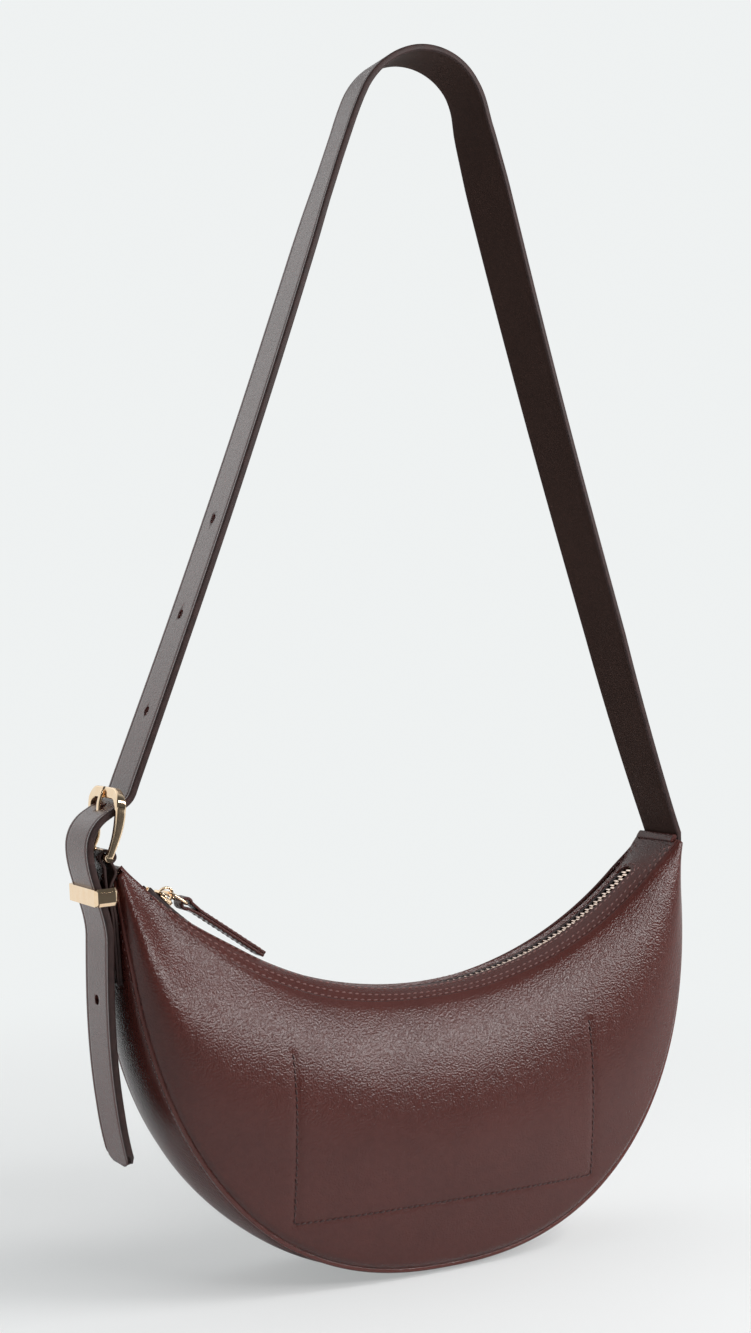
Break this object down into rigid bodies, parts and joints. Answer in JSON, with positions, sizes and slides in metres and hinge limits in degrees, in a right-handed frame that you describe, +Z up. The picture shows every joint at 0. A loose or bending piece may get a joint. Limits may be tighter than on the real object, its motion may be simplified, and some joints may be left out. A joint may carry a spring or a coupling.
{
  "type": "half moon shoulder bag",
  "caption": "Half moon leather shoulder bag with a zipped mouth, a strap adjusted by a gold buckle with keeper, and a leather zip pull.",
  "frame": {"origin": "underside of the strap's crown, where a shoulder or a hook carries the bag", "axes": "+Z up along the hanging bag, +X to the bag's right as seen from its front, -Y to its front"},
  "size_m": [0.2933, 0.0636, 0.5248],
  "materials": {
    "leather": "burgundy-brown grained leather with a satin surface, tone-on-tone stitching and dark edges",
    "strap_back": "darker smooth leather on the strap's inner face",
    "lining": "plain woven lining",
    "zip_tape": "woven zip tape in the leather's colour",
    "gold": "polished pale gold plating"
  },
  "bodies": {
    "strap": {"strap_outer": "leather", "strap_lining": "strap_back"},
    "bag": {"front_panel": "leather", "back_panel": "leather", "gusset": "leather", "front_piping": "leather", "back_piping": "leather", "top_panel": "leather", "lining_front": "lining", "lining_back": "lining", "lining_gusset": "lining", "slip_pocket": "lining", "zip_tape_front": "zip_tape", "zip_tape_back": "zip_tape", "zip_teeth_front": "gold", "zip_teeth_back": "gold", "zip_stop_top": "gold", "zip_stop_bottom": "gold", "strap_root": "leather", "strap_loop": "leather", "buckle_tab": "leather"},
    "buckle_frame": {"buckle_frame": "gold"},
    "buckle_prong": {"buckle_prong": "gold"},
    "keeper": {"keeper": "gold"},
    "strap_tail": {"strap_tail": "leather"},
    "zip_slider": {"zip_slider": "gold"},
    "zip_puller": {"zip_puller": "gold"},
    "zip_pull": {"zip_pull": "leather"}
  },
  "joints": [
    {"name": "bag_swing", "type": "hinge", "parent": "strap", "child": "bag", "pos_m": [0, 0, -0.346], "axis": [1, 0, 0], "range_deg": [-18, 18], "deforming": ["strap_loop", "strap_root", "buckle_tab"]},
    {"name": "frame_tilt", "type": "hinge", "parent": "strap", "child": "buckle_frame", "pos_m": [-0.1466, 0, -0.3402], "axis": [0, -1, 0], "range_deg": [0, 6]},
    {"name": "prong_swing", "type": "hinge", "parent": "buckle_frame", "child": "buckle_prong", "pos_m": [-0.1466, 0, -0.3402], "axis": [0, -1, 0], "range_deg": [0, 6]},
    {"name": "keeper_slide", "type": "slide", "parent": "bag", "child": "keeper", "axis": [0.0523, 0, -0.9986], "range_m": [0, 0.012]},
    {"name": "tail_flex", "type": "hinge", "parent": "bag", "child": "strap_tail", "pos_m": [-0.1484, 0, -0.3729], "axis": [0, 1, 0], "range_deg": [0, 40], "stiffness_Nm_per_rad": 0.02},
    {"name": "zip_slide", "type": "hinge", "parent": "bag", "child": "zip_slider", "pos_m": [0, 0, -0.228], "axis": [0, -1, 0], "range_deg": [0, 73], "deforming": ["zip_teeth_front", "zip_teeth_back"]},
    {"name": "puller_flip", "type": "hinge", "parent": "zip_slider", "child": "zip_puller", "pos_m": [-0.11607, 0, -0.35601], "axis": [0, -1, 0], "range_deg": [0, 100]},
    {"name": "pull_swing", "type": "hinge", "parent": "zip_puller", "child": "zip_pull", "pos_m": [-0.10894, 0, -0.36064], "axis": [0, -1, 0], "range_deg": [0, 35]}
  ]
}
